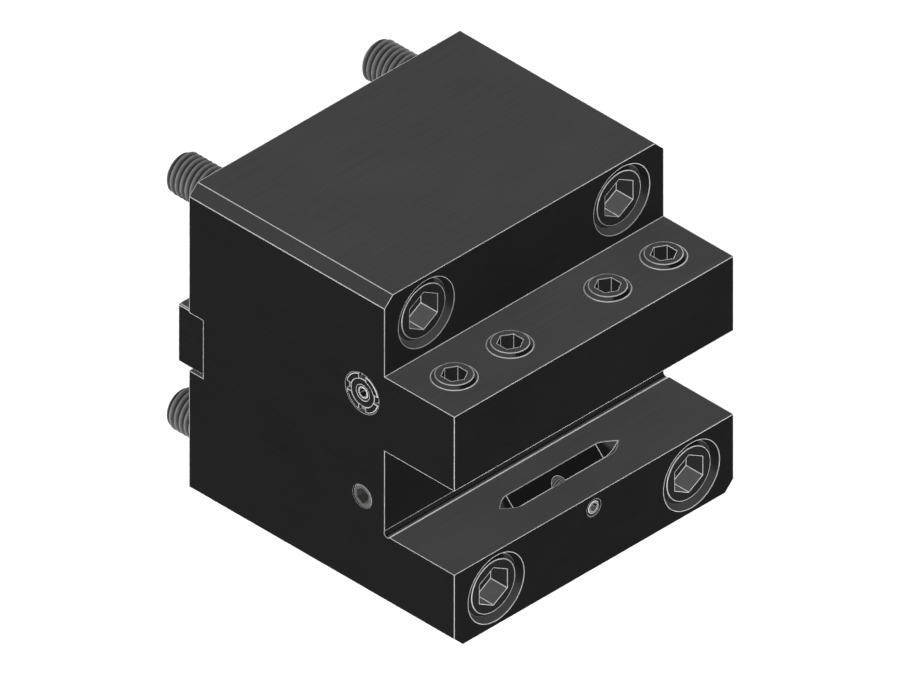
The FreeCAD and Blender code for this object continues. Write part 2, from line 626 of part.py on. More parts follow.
def build_nozzle_rings():
    """Ring nuts, flush in the side faces, whose round seats hold the nozzle balls."""
    for side in ("left", "right"):
        body = new_body(f"nozzle_ring_{side}")
        section = sketch_on(body, "section", "XZ_Plane")
        draw_outline(
            section,
            [
                ("0", "0"),
                (f"({RING_RADIUS} - Sizes.ring_bevel)", "0"),
                (RING_RADIUS, "-Sizes.ring_bevel"),
                (RING_RADIUS, negative(RING_THICKNESS)),
                (BALL_SEAT, negative(RING_THICKNESS)),
                (BALL_SEAT, "-Sizes.ball_depth"),
                ("0", "-Sizes.ball_depth"),
            ],
        )
        turn(body, section)
        seat = body.newObject("PartDesign::SubtractiveSphere", f"{body.Name}_seat")
        seat.AttachmentSupport = [(origin_plane(body, "XY_Plane"), "")]
        seat.MapMode = "FlatFace"
        bind(seat, Radius=BALL_SEAT, AttachmentOffset__Base__z="-Sizes.ball_depth")
        notches = sketch_on(body, "notches", "XY_Plane")
        half, reach = "(Sizes.notch_width / 2)", f"(2 * {RING_RADIUS})"
        draw_outline(
            notches,
            [
                (half, half),
                (half, reach),
                (negative(half), reach),
                (negative(half), half),
                (negative(reach), half),
                (negative(reach), negative(half)),
                (negative(half), negative(half)),
                (negative(half), negative(reach)),
                (half, negative(reach)),
                (half, negative(half)),
                (reach, negative(half)),
                (reach, half),
            ],
        )
        pocket(body, notches, "Sizes.notch_depth")
        stand(body, mirrored_x(side, LEFT), CHANNEL, "Sizes.nozzle_rise", **SIDEWAYS[side])


def build_nozzle_balls():
    """Flat-faced balls, each bored right through and tapped at its face."""
    radius = "(Sizes.ball_diameter / 2)"
    face = "(Sizes.ball_depth - Sizes.ball_recess)"
    tapped_depth = "(Sizes.ball_screw_recess + Sizes.ball_screw_length + Sizes.ball_tap_spare)"
    for side in ("left", "right"):
        body = new_body(f"nozzle_ball_{side}")
        ball = body.newObject("PartDesign::AdditiveSphere", f"{body.Name}_sphere")
        ball.AttachmentSupport = [(origin_plane(body, "XY_Plane"), "")]
        ball.MapMode = "FlatFace"
        bind(
            ball,
            Radius=radius,
            Angle1=f"-asin(Sizes.ball_back_flat / {radius})",
            Angle2=f"asin({face} / {radius})",
        )
        bore = sketch_on(body, "bore", "XZ_Plane", "0", face)
        through = ("Sizes.ball_bore / 2", "Sizes.ball_diameter")
        draw_steps(bore, [(BALL_SCREW_HOLE, tapped_depth), through], side=-1)
        turn(body, bore, cut=True)
        x = mirrored_x(side, f"({LEFT} + Sizes.ball_depth)")
        stand(body, x, CHANNEL, "Sizes.nozzle_rise", **SIDEWAYS[side])


def build_nozzle_screws():
    """Short headless screws that close the balls until a nozzle is wanted."""
    outline = headless_outline(
        "Sizes.ball_screw_diameter", "Sizes.ball_screw_length", "Sizes.ball_screw_bevel"
    )
    for side in ("left", "right"):
        name = f"nozzle_screw_{side}"
        screw = build_screw(name, outline, "Sizes.small_socket", "Sizes.small_socket_depth")
        x = mirrored_x(side, f"({LEFT} + Sizes.ball_recess + Sizes.ball_screw_recess)")
        stand(screw, x, CHANNEL, "Sizes.nozzle_rise", **SIDEWAYS[side])


def build_keys():
    """Locating keys, half sunk in the mounting face, each with a counterbored screw hole."""
    head = "(Sizes.key_screw_head_diameter / 2)"
    shank = "(Sizes.key_screw_diameter / 2)"
    for side in ("left", "right"):
        body = new_body(f"locating_key_{side}")
        outline = sketch_on(body, "outline", "XY_Plane")
        half_length, half_width = f"(({KEY_INNER_END} - {KEY_OUTER_END}) / 2)", "(Sizes.key_width / 2)"
        draw_rectangle(
            outline, negative(half_length), half_length, negative(half_width), half_width
        )
        block = pad(body, outline, "Sizes.key_thickness", reversed_way=True)
        doc.recompute()
        rim_and_corners = [
            f"Edge{n}"
            for n, edge in enumerate(block.Shape.Edges, start=1)
            if abs(edge.BoundBox.ZMax) < 1e-6
        ]
        bevel = body.newObject("PartDesign::Chamfer", f"{body.Name}_bevel")
        bevel.Base = (block, rim_and_corners)
        bind(bevel, Size="Sizes.key_bevel")
        hole = sketch_on(body, "screw_hole", "XZ_Plane")
        draw_steps(
            hole,
            [
                (f"({head} + Sizes.key_screw_clearance)", KEY_COUNTERBORE_DEPTH),
                (f"({shank} + Sizes.key_screw_clearance)", "Sizes.key_thickness"),
            ],
            side=-1,
        )
        turn(body, hole, cut=True)
        stand(body, mirrored_x(side, KEY_MIDDLE), KEY_PROUD, "0", **BACKWARD)


def build_key_screws():
    """Socket head screws that hold the keys in their keyways."""
    head = "(Sizes.key_screw_head_diameter / 2)"
    shank = "(Sizes.key_screw_diameter / 2)"
    bevel = "Sizes.key_screw_bevel"
    tip = "(-Sizes.key_screw_head_height - Sizes.key_screw_length)"
    outline = [
        ("0", "0"),
        (f"({head} - {bevel})", "0"),
        (head, f"-{bevel}"),
        (head, "-Sizes.key_screw_head_height"),
        (shank, "-Sizes.key_screw_head_height"),
        (shank, f"({tip} + {bevel})"),
        (f"({shank} - {bevel})", tip),
        ("0", tip),
    ]
    for side in ("left", "right"):
        name = f"key_screw_{side}"
        screw = build_screw(name, outline, "Sizes.key_screw_socket", "Sizes.key_screw_socket_depth")
        face = f"({KEY_PROUD} - Sizes.key_screw_recess)"
        stand(screw, mirrored_x(side, KEY_MIDDLE), face, "0", **BACKWARD)


def build_seal(name, centre_radius, section, x="0", y="0", z="0", **facing):
    """A round seal of round section about its own Z."""
    seal = doc.addObject("Part::Torus", name)
    seal.Label = name
    bind(seal, Radius1=centre_radius, Radius2=f"({section} / 2)")
    stand(seal, x, y, z, **facing)


def build_seals():
    """The pilot's seal, the inlet's seal and one seal behind each nozzle ball."""
    build_seal(
        "pilot_seal",
        f"({PILOT_GROOVE_FLOOR} + Sizes.pilot_seal_section / 2)",
        "Sizes.pilot_seal_section",
        y=f"((Sizes.pilot_land + {PILOT_GROOVE_END}) / 2)",
        **BACKWARD,
    )
    build_seal(
        "inlet_seal",
        INLET_SEAL_RADIUS,
        "Sizes.inlet_seal_section",
        y=f"({PILOT_LENGTH} + Sizes.inlet_seal_proud - Sizes.inlet_seal_section / 2)",
        **BACKWARD,
    )
    for side in ("left", "right"):
        build_seal(
            f"nozzle_seal_{side}",
            BALL_SEAL_RADIUS,
            "Sizes.ball_seal_section",
            mirrored_x(side, f"({LEFT} + Sizes.ball_depth + {BALL_SEAL_DROP})"),
            CHANNEL,
            "Sizes.nozzle_rise",
            **SIDEWAYS[side],
        )


def write_steps():
    """Check every object of the document, then write one STEP file for each sub-part."""
    doc.recompute()
    failed = [item.Name for item in doc.Objects if {"Invalid", "Error"} & set(item.State)]
    if failed:
        raise RuntimeError(f"these objects failed: {failed}")
    kinds = ("PartDesign::Body", "Part::Torus")
    pieces = [item for item in doc.Objects if item.TypeId in kinds]
    for piece in pieces:
        if piece.Shape.isNull() or not piece.Shape.isValid() or len(piece.Shape.Solids) != 1:
            raise RuntimeError(f"{piece.Label} is not one valid solid")
    os.makedirs("parts", exist_ok=True)
    for piece in pieces:
        piece.Shape.exportStep(f"parts/{piece.Label}.step")
        box = piece.Shape.BoundBox
        low = [round(v, 2) for v in (box.XMin, box.YMin, box.ZMin)]
        high = [round(v, 2) for v in (box.XMax, box.YMax, box.ZMax)]
        print(f"{piece.Label}: {piece.Shape.Volume:.1f} mm3, from {low} to {high}")


build_holder_body()
build_pilot()
build_mounting_bolts()
build_clamp_screws()
build_shutoff_screw()
build_channel_plugs()
build_nozzle_rings()
build_nozzle_balls()
build_nozzle_screws()
build_keys()
build_key_screws()
build_seals()
write_steps()
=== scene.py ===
# %% [markdown]
# # A turret tool holder in blackened steel
#
# A lathe's turret carries its cutting tools in holders like this one: a ground block with a slot
# for the tool's square shank, set screws that clamp it, and four bolts into the turret.
#
# The packed model is a fixed frame: it knows where each piece is, how big it is and what it rides
# on. This lesson reads the shape of the plain pieces and the place and length of each screw from
# that frame, and adds what the frame doesn't hold: rolled threads, knurled heads, edges rubbed
# bare, dust in the corners, and the finish of each surface.
#
# First the frame comes in, and the box round it is kept for the floor.

# %% The frame and its box
import math

import bmesh
import bpy
import numpy as np
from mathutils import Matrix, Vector


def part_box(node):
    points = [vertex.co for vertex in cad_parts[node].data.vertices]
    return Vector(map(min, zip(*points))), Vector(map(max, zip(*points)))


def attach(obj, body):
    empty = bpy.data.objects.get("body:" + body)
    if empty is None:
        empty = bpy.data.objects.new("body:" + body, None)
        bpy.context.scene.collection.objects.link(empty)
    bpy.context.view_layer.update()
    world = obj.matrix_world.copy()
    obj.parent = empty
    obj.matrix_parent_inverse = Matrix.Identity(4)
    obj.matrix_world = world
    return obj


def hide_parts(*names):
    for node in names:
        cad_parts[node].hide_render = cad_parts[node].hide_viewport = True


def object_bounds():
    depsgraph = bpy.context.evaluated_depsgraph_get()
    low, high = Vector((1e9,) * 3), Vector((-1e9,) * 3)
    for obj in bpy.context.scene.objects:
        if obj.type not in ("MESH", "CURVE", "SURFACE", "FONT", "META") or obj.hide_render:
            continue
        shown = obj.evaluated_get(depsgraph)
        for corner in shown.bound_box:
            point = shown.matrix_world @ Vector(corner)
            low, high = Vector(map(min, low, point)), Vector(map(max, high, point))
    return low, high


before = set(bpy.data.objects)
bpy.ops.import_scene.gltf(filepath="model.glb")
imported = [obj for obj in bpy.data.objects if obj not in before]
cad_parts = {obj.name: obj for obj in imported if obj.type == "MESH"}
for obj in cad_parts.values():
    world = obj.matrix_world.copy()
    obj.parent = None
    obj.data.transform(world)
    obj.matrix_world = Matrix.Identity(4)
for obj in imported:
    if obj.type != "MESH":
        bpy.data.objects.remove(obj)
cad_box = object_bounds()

MM = 0.001
SIDES = ("left", "right")

# %% [markdown]
# ## The camera
#
# The reference view is an exact isometric one: no perspective, and the three families of edges lie
# at 30, 150 and 90 degrees. An orthographic camera gives that. It could be placed by eye, but the
# direction of an isometric view is known: it looks along the diagonal of a cube. Only the centre
# of the view and its width had to be measured.

# %% An isometric camera
VIEW_WAY = Vector((-1, -1, 1)).normalized()
VIEW_CENTRE = Vector((0, -43.455 * MM, -2.02 * MM))
VIEW_WIDTH = 228 * MM
VIEW_DISTANCE = 0.6

camera_data = bpy.data.cameras.new("camera")
camera_data.type = "ORTHO"
camera_data.ortho_scale = VIEW_WIDTH
camera = bpy.data.objects.new("camera", camera_data)
camera.location = VIEW_CENTRE + VIEW_WAY * VIEW_DISTANCE
camera.rotation_euler = VIEW_WAY.to_track_quat("Z", "Y").to_euler()
bpy.context.scene.collection.objects.link(camera)
bpy.context.scene.camera = camera
print("camera at", [round(v, 3) for v in camera.location])

# %% [markdown]
# ## Writing finishes as sums
#
# A material is a graph of nodes. Clicking it together is slow to read back, so here a socket is
# wrapped in a small class whose plus, minus and times signs add the Math node that does the sum.
# Everything else goes through one method that takes a node's type, its settings and its inputs.
# A finish then reads like its recipe.

# %% A socket that can stand in a sum
class Signal:
    """An output of a material's node. Operators on it add Math nodes and give a new Signal."""

    def __init__(self, finish, socket):
        self.finish, self.socket = finish, socket

    def maths(self, operation, *terms):
        inputs = dict(enumerate(terms))
        return self.finish.node("ShaderNodeMath", {"operation": operation}, inputs)

    def __add__(self, other):
        return self.maths("ADD", self, other)

    def __sub__(self, other):
        return self.maths("SUBTRACT", self, other)

    def __rsub__(self, other):
        return self.maths("SUBTRACT", other, self)

    def __mul__(self, other):
        return self.maths("MULTIPLY", self, other)

    __radd__, __rmul__ = __add__, __mul__

    def above(self, limit):
        """1 where the signal is over the limit, and 0 elsewhere."""
        return self.maths("GREATER_THAN", self, limit)

    def swing(self, share):
        """How far a noise is from its middle of 0.5, times a share."""
        return (self - 0.5) * share


print("a signal's methods:", [name for name in vars(Signal) if not name.startswith("__")])

# %% [markdown]
# Next comes the material itself. What stays the same all over is set on the shader's own sockets,
# and what changes over the surface is fed to them. Four kinds of nodes come up again and again, so
# each has a short method: a noise, a ramp, a blend of two colours and a bump.

# %% A material, node by node
class Finish:
    """A material being written. Its constants are set on the shader's own sockets."""

    def __init__(self, name, constants=None):
        self.material = bpy.data.materials.new(name)
        self.material.use_nodes = True
        self.tree = self.material.node_tree
        self.shader = self.tree.nodes["Principled BSDF"]
        for socket, value in (constants or {}).items():
            self.shader.inputs[socket].default_value = value

    def node(self, kind, settings=None, inputs=None, output=0):
        """Add a node: first its settings, then the value or the link of each input."""
        made = self.tree.nodes.new(kind)
        for name, value in (settings or {}).items():
            setattr(made, name, value)
        for name, value in (inputs or {}).items():
            self.feed(made.inputs[name], value)
        return Signal(self, made.outputs[output])

    def feed(self, socket, value):
        """Link a Signal to an input, or set the input to a plain value."""
        if isinstance(value, Signal):
            self.tree.links.new(value.socket, socket)
        else:
            socket.default_value = value

    def coat(self, **inputs):
        """Feed what changes over the surface to the shader."""
        for name, value in inputs.items():
            self.feed(self.shader.inputs[name.replace("_", " ")], value)
        return self.material

    def place(self):
        """The place of each point in the object's own coordinates, in metres."""
        return self.node("ShaderNodeTexCoord", output="Object")

    def facing(self):
        """The way the surface faces, in the object's own coordinates."""
        return self.node("ShaderNodeTexCoord", output="Normal")

    def part_along(self, vector, axis):
        """One coordinate of a vector: 0 is along X, 1 along Y and 2 along Z."""
        return self.node("ShaderNodeSeparateXYZ", {}, {0: vector}, output=axis)

    def stretched_noise(self, scales, detail=3.0):
        """Noise with its own number of bumps a metre along X, Y and Z; about 0.5 on average."""
        settings = {"operation": "MULTIPLY"}
        scaled = self.node("ShaderNodeVectorMath", settings, {0: self.place(), 1: scales})
        inputs = {"Vector": scaled, "Scale": 1.0, "Detail": detail}
        return self.node("ShaderNodeTexNoise", {}, inputs)

    def noise(self, scale, detail=3.0):
        """Noise with the same number of bumps a metre every way."""
        return self.stretched_noise((scale, scale, scale), detail)

    def ramp(self, value, start, end, kind="SMOOTHSTEP"):
        """0 where a value is at the start, 1 where it is at the end, and a ramp in between."""
        inputs = {"Value": value, "From Min": start, "From Max": end}
        return self.node("ShaderNodeMapRange", {"interpolation_type": kind}, inputs)

    def blend(self, low, high, share):
        """A colour between two, by a share from 0 to 1."""
        settings = {"data_type": "RGBA", "clamp_factor": True}
        return self.node("ShaderNodeMix", settings, {0: share, 6: low, 7: high}, output=2)

    def bump(self, height, depth):
        """A normal tilted by a height from 0 to 1 that stands for a depth in metres."""
        return self.node("ShaderNodeBump", {}, {"Height": height, "Distance": depth})


SCREEN_GAMMA = 2.2


def grey(level, warmth=0.0):
    """A linear colour from a grey level of 0 to 255, with a little more red and less blue."""
    linear = (level / 255) ** SCREEN_GAMMA
    return (linear * (1 + warmth), linear, linear * (1 - warmth), 1.0)


print("a grey of 60 is", round(grey(60)[0], 3), "in linear light")

# %% [markdown]
# ## Blackened ground steel
#
# The block is hardened steel, ground flat and then blackened in a hot bath. The bath leaves a thin
# dark skin that takes its sheen from the grinding below it: fine parallel scratches, drawn out
# along the wheel's path, under faint cloudy patches. An image of brushed metal would do for one
# view, but it repeats and it can't know which way each face was ground. Noise that is stretched
# in space does: the wheel ran along X over the top, front and slot, and along Y over the two side
# faces, and the face's own normal picks between them.
#
# The level faces, which seat the tool, are ground finest, and are painted a little paler, and the
# upright ones darker: painted light and shade by which way a face looks. Faces that slope up to the
# front, as in the groove and on the screws' bevels, are as a pointed cutter left them, and are
# painted darkest, as painted shade. Each of these is read off the surface's own normal.

# %% Which way a face looks
FORWARD_SLOPE = (0.0, -0.7071, 0.7071)
SLOPE_COSINES = (0.89, 0.96)
LEAN_SQUARES = (0.22, 0.03)


def sloped_forward(finish):
    """1 where the surface slopes up to the front at 45 degrees, falling to 0 some 27 degrees off.

    The cosine of the angle to that slope comes from a dot product with the surface's normal.
    """
    settings = {"operation": "DOT_PRODUCT"}
    ways = {0: finish.facing(), 1: FORWARD_SLOPE}
    cosine = finish.node("ShaderNodeVectorMath", settings, ways, output=1)
    return finish.ramp(cosine, *SLOPE_COSINES)


def upright(finish):
    """1 on upright faces, and 0 on those that lean by 28 degrees or more from upright.

    The square of the normal's upward part is the square of the sine of that lean.
    """
    up = finish.part_along(finish.facing(), 2)
    return finish.ramp(up * up, *LEAN_SQUARES)


slope_reach = math.degrees(math.acos(SLOPE_COSINES[0]))
upright_reach = math.degrees(math.asin(math.sqrt(LEAN_SQUARES[0])))
print("sloped reaches", round(slope_reach), "degrees and upright", round(upright_reach))

# %% Painted light and shade by facing
# Faces that slope up to the front are painted this dark grey, as painted shade.
PAINTED_SLOPE_SHADE = grey(26)


def painted_facing_tone(finish, level, painted_upright_grey, spread, tone):
    """A colour from two grey levels, of the level and upright faces, painted as light and shade,
    and a tone.
    """
    on_level = finish.blend(grey(level - spread), grey(level + spread), tone)
    on_upright = finish.blend(grey(painted_upright_grey - spread), grey(painted_upright_grey + spread), tone)
    return finish.blend(on_level, on_upright, upright(finish))


def blackened_skin_and_painted_shade(finish, level, painted_upright_grey, spread, tone, painted_slope_shade=PAINTED_SLOPE_SHADE):
    """A blackened colour with light and shade painted by facing, darkest where it slopes forward.
    """
    skin = painted_facing_tone(finish, level, painted_upright_grey, spread, tone)
    return finish.blend(skin, painted_slope_shade, sloped_forward(finish))


print("oiled steel is", round(PAINTED_SLOPE_SHADE[0], 4), "in linear light")

# %% [markdown]
# The skin is dull, so its specular level is low. The scratches show in its colour, its roughness
# and its bump alike, and the clouds in the first two.

# %% The block's finish
GRAIN_ALONG, GRAIN_ACROSS, CLOUDS = 45.0, 2600.0, 38.0
GRAIN_IN_TONE, CLOUDS_IN_TONE = 1.1, 0.8
GRAIN_IN_SHEEN, CLOUDS_IN_SHEEN, SKIN_ROUGHNESS = 0.5, 0.3, 0.46
SCRATCH_DEPTH = 0.012 * MM


def blackened_ground_steel(name, level, painted_upright_grey, spread):
    """Steel ground along X, or along Y on faces that look along X, then blackened."""
    finish = Finish(name, {"Specular IOR Level": 0.006})
    across_x = finish.part_along(finish.facing(), 0)
    on_side = (across_x * across_x).above(0.5)
    along_x = finish.stretched_noise((GRAIN_ALONG, GRAIN_ACROSS, GRAIN_ACROSS))
    along_y = finish.stretched_noise((GRAIN_ACROSS, GRAIN_ALONG, GRAIN_ACROSS))
    grain = along_x * (1 - on_side) + along_y * on_side
    clouds = finish.noise(CLOUDS, detail=5.0)
    tone = grain.swing(GRAIN_IN_TONE) + clouds.swing(CLOUDS_IN_TONE) + 0.5
    sheen = grain.swing(GRAIN_IN_SHEEN) + clouds.swing(CLOUDS_IN_SHEEN)
    return finish.coat(
        Base_Color=blackened_skin_and_painted_shade(finish, level, painted_upright_grey, spread, tone),
        Roughness=sheen + SKIN_ROUGHNESS,
        Normal=finish.bump(grain, SCRATCH_DEPTH),
    )


# Level faces are painted paler than upright ones: painted light and shade by facing.
block_steel = blackened_ground_steel("blackened_ground_steel", 59, 44, 5)
key_steel = blackened_ground_steel("blackened_key_steel", 61, 44, 6)
print("block finish:", len(block_steel.node_tree.nodes), "nodes")

# %% [markdown]
# ## Rubbed edges and dusty corners
#
# Handling rubs the black skin off along every outer edge, so bare steel draws a thin pale line
# round each face. In the inner corners, where nothing rubs, pale grinding dust settles instead. A
# mask from the curvature of the surface could find these places, but it depends on the renderer
# and blurs. Here the mesh has its own narrow strips beside every edge, and they carry two
# finishes: bright metal, a little uneven where the rubbing was harder, and matt dust.

# %% Rubbed bare steel
WEAR_SPOTS, WEAR_IN_TONE = 420.0, 2.2
WEAR_IN_SHEEN, WORN_ROUGHNESS = 0.4, 0.38


def rubbed_steel(name, level, painted_upright_grey, spread):
    """Bare steel, rubbed unevenly, half dull and half bright."""
    finish = Finish(name, {"Metallic": 0.5, "Specular IOR Level": 0.2})
    wear = finish.noise(WEAR_SPOTS, detail=4.0)
    return finish.coat(
        Base_Color=painted_facing_tone(finish, level, painted_upright_grey, spread, wear.swing(WEAR_IN_TONE) + 0.5),
        Roughness=wear.swing(WEAR_IN_SHEEN) + WORN_ROUGHNESS,
    )


# Upright strips are painted paler than level ones: painted light on faces the lamps light less.
bare_edge = rubbed_steel("rubbed_edge", 172, 226, 14)
bright_edge = rubbed_steel("bright_edge", 215, 243, 8)
print("bare steel:", bare_edge.name, bright_edge.name)

# %% Settled dust
DRIFTS, DRIFT_IN_TONE = 300.0, 2.0


def settled_dust(name, dark, light):
    """Pale matt grinding dust, thicker in places."""
    finish = Finish(name, {"Specular IOR Level": 0.1, "Roughness": 0.9})
    drift = finish.noise(DRIFTS, detail=4.0)
    return finish.coat(Base_Color=finish.blend(dark, light, drift.swing(DRIFT_IN_TONE) + 0.5))


corner_dust = settled_dust("corner_dust", grey(150), grey(185))
print("dust:", corner_dust.name)

# %% [markdown]
# ## Screws: blackened heads and rolled threads
#
# Screws are blackened too, but over a smoother, drawn surface, so they are a shade lighter and
# show a fine even mottle. The plugs are left as plain steel. On a rolled thread the crests rub
# bare against the mating thread, and the roots are painted dark as shade. The mesh stores how
# high each point of the thread stands, from root to crest, and the finish reads that height.

# %% Screw steel
MOTTLE, PATCHES = 900.0, 110.0
MOTTLE_IN_TONE = PATCHES_IN_TONE = 0.9
MOTTLE_IN_SHEEN = DRAWN_ROUGHNESS = 0.4
MOTTLE_DEPTH = 0.006 * MM


def smooth_steel(name, level, painted_upright_grey, spread, painted_slope_shade=PAINTED_SLOPE_SHADE):
    """Drawn steel with a fine even mottle under a thin skin."""
    finish = Finish(name, {"Specular IOR Level": 0.02})
    mottle = finish.noise(MOTTLE, detail=4.0)
    patches = finish.noise(PATCHES)
    tone = mottle.swing(MOTTLE_IN_TONE) + patches.swing(PATCHES_IN_TONE) + 0.5
    return finish.coat(
        Base_Color=blackened_skin_and_painted_shade(finish, level, painted_upright_grey, spread, tone, painted_slope_shade),
        Roughness=mottle.swing(MOTTLE_IN_SHEEN) + DRAWN_ROUGHNESS,
        Normal=finish.bump(mottle, MOTTLE_DEPTH),
    )


# The second grey, for upright faces, is painted light and shade by facing.
screw_steel = smooth_steel("blackened_screw_steel", 68, 50, 6)
# Painted paler than the screw steel: painted light inside the sockets.
socket_steel = smooth_steel("blackened_socket_steel", 74, 57, 6)
nozzle_steel = smooth_steel("blackened_nozzle_steel", 56, 44, 6)
plug_steel = smooth_steel("plain_plug_steel", 116, 123, 9, grey(116, 0.03))
plug_socket = smooth_steel("stained_plug_steel", 78, 84, 9, grey(46, 0.1))
print("screw finishes:", screw_steel.name, socket_steel.name, nozzle_steel.name, plug_steel.name)

# %% Thread steel
THREAD_MOTTLE = 800.0
LEAST_RUBBED, RUBBED_UNEVENLY = 0.65, 0.7
UP_LIMITS = (0.85, 0.1)
ROOT_ROUGHNESS, CREST_POLISH, UNEVEN_POLISH = 0.5, 0.12, 0.2
CREST_METAL = 0.35
THREAD_GRAIN_DEPTH = 0.01 * MM


def thread_steel(name, up_shaded_tones, side_lit_tones):
    """Thread flanks: painted shade in the root, rubbed towards the crest.

    The two pairs of tones, of root and crest, are for where the thread looks up, painted darker as
    shade, and to the side, painted paler as light. The rubbing grows with the square of the height.
    """
    finish = Finish(name, {"Specular IOR Level": 0.2})
    height = finish.node("ShaderNodeAttribute", {"attribute_name": "crest"}, output="Fac")
    mottle = finish.noise(THREAD_MOTTLE, detail=4.0)
    rubbed = height * height * (mottle * RUBBED_UNEVENLY + LEAST_RUBBED)
    sideways = finish.ramp(finish.part_along(finish.facing(), 2), *UP_LIMITS, kind="LINEAR")
    root, crest = (finish.blend(*pair, sideways) for pair in zip(up_shaded_tones, side_lit_tones))
    return finish.coat(
        Base_Color=finish.blend(root, crest, rubbed),
        Roughness=ROOT_ROUGHNESS - height * CREST_POLISH + mottle.swing(UNEVEN_POLISH),
        Metallic=rubbed * CREST_METAL,
        Normal=finish.bump(mottle, THREAD_GRAIN_DEPTH),
    )


# Roots and upward-looking flanks are painted darker as shade; crests are rubbed paler.
thread_finish = thread_steel("rolled_thread_steel", (grey(22), grey(98)), (grey(54), grey(154)))
print("thread finish:", thread_finish.name)

# %% [markdown]
# ## Rubber
#
# The seals are black nitrile rubber: matt, with the faint grain of the mould.

# %% Seal rubber
RUBBER_GRAIN, RUBBER_GRAIN_DEPTH = 2500.0, 0.01 * MM
GRAIN_IN_MATTNESS, RUBBER_ROUGHNESS = 0.3, 0.75


def moulded_rubber(name, dark, light):
    """Matt rubber with a fine moulded grain."""
    finish = Finish(name, {"Specular IOR Level": 0.15})
    grain = finish.noise(RUBBER_GRAIN)
    return finish.coat(
        Base_Color=finish.blend(dark, light, grain),
        Roughness=grain.swing(GRAIN_IN_MATTNESS) + RUBBER_ROUGHNESS,
        Normal=finish.bump(grain, RUBBER_GRAIN_DEPTH),
    )


seal_rubber = moulded_rubber("moulded_seal_rubber", grey(30), grey(44))
print("seal finish:", seal_rubber.name)

# %% [markdown]
# ## Pieces whose shape the frame already has
#
# The block, pilot, keys, ring nuts and balls have their true shape in the frame. What they lack is
# the rubbed edge. The frame's own meshes stay untouched, so each piece is a copy: its loose
# triangles are welded, flat stretches become single faces again, and every edge that turns more
# than a chosen angle gets a narrow strip along each of its two faces. Strips at outer edges take
# the bare finish and strips in inner corners the dusty one. The strips come from a bevel with two
# segments and a square profile, which leaves the shape as it is.

# %% From a mesh to a piece
EDGE_TURN = math.radians(24)


def finish_piece(mesh, name, body, nodes, materials):
    """Shade a mesh, link it as a piece, and say what it rides on and stands for."""
    for material in materials:
        mesh.materials.append(material)
    mesh.shade_smooth()
    mesh.set_sharp_from_angle(angle=EDGE_TURN)
    piece = bpy.data.objects.new(name, mesh)
    bpy.context.scene.collection.objects.link(piece)
    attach(piece, body)
    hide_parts(*nodes)
    return piece


print("edges that turn over", round(math.degrees(EDGE_TURN)), "degrees are sharp")

# %% Strips beside the edges
PLAIN, RUBBED, DUSTY, BRIGHT = range(4)
MERGING_ROUNDS = 3


def turning_edges(work):
    """The edges where two faces meet at more than the edge angle."""
    return [e for e in work.edges if len(e.link_faces) == 2 and e.calc_face_angle() > EDGE_TURN]


def untouched_edges(work):
    """The turning edges that have no strips yet."""
    return [e for e in turning_edges(work) if not any(f.material_index for f in e.link_faces)]


def far_side(face, edge):
    """The edge of a four-sided face that lies across from one of its edges."""
    across = [e for e in face.edges if not set(e.verts) & set(edge.verts)]
    return across[0] if len(across) == 1 and len(face.edges) == 4 else None


def widen_slivers(work, width):
    """Merge long facets that are too narrow for a strip with the facets beyond them."""
    for _ in range(MERGING_ROUNDS):
        narrow = set()
        for edge in turning_edges(work):
            for face in edge.link_faces:
                across = far_side(face, edge)
                if across and face.calc_area() < width * edge.calc_length():
                    narrow.add(across)
        narrow -= set(turning_edges(work))
        in_order = [e for e in work.edges if e in narrow]
        bmesh.ops.dissolve_edges(work, edges=in_order, use_verts=True)


def add_strips(work, edges, width):
    """Lay a strip of a width along both sides of each edge, without changing the shape."""
    bmesh.ops.bevel(
        work,
        geom=edges,
        offset=width,
        offset_type="OFFSET",
        segments=2,
        profile=1.0,
        affect="EDGES",
        clamp_overlap=False,
        material=RUBBED,
    )


print("a face's finish is", {"plain": PLAIN, "rubbed": RUBBED, "dusty": DUSTY, "bright": BRIGHT})

# %% Copies with rubbed edges
EDGE_STRIP, RING_STRIP, BALL_STRIP = 0.14 * MM, 0.13 * MM, 0.11 * MM
WELD_GAP = 0.0005 * MM
FLAT_TURN = math.radians(0.5)
SLIVER = 1.2


def copy_with_rubbed_edges(
    node, body, material, width, edge_finish, rims=None, marks=None, dust=None
):
    """The node's shape with a strip of a width on both sides of each turning edge.

    Rims gives the width for an edge that wants its own, or None. Marks picks further edges that
    get strips, and dust gives a face its finish from its centre, normal and finish so far. Strips
    in inner corners, where the surface turns in, are dusty.
    """
    work = bmesh.new()
    work.from_mesh(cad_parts[node].data)
    bmesh.ops.remove_doubles(work, verts=work.verts, dist=WELD_GAP)
    bmesh.ops.dissolve_limit(work, angle_limit=FLAT_TURN, verts=work.verts, edges=work.edges)
    widen_slivers(work, SLIVER * width)
    for face in work.faces:
        face.material_index = PLAIN
    own_widths = {rims(e) for e in turning_edges(work)} - {None} if rims else set()
    for own_width in sorted(own_widths):
        add_strips(work, [e for e in untouched_edges(work) if rims(e) == own_width], own_width)
    marked = [e for e in work.edges if marks and marks(e)]
    add_strips(work, untouched_edges(work) + marked, width)
    for edge in turning_edges(work):
        for face in edge.link_faces:
            if face.material_index and not edge.is_convex:
                face.material_index = DUSTY
    for face in work.faces:
        if dust:
            face.material_index = dust(face.calc_center_median(), face.normal, face.material_index)
    mesh = bpy.data.meshes.new(f"{node}_finished")
    work.to_mesh(mesh)
    work.free()
    finishes = [material, edge_finish, corner_dust, bright_edge]
    return finish_piece(mesh, f"{node}_finished", body, [node], finishes)


print("points nearer than", WELD_GAP / MM, "mm are welded")

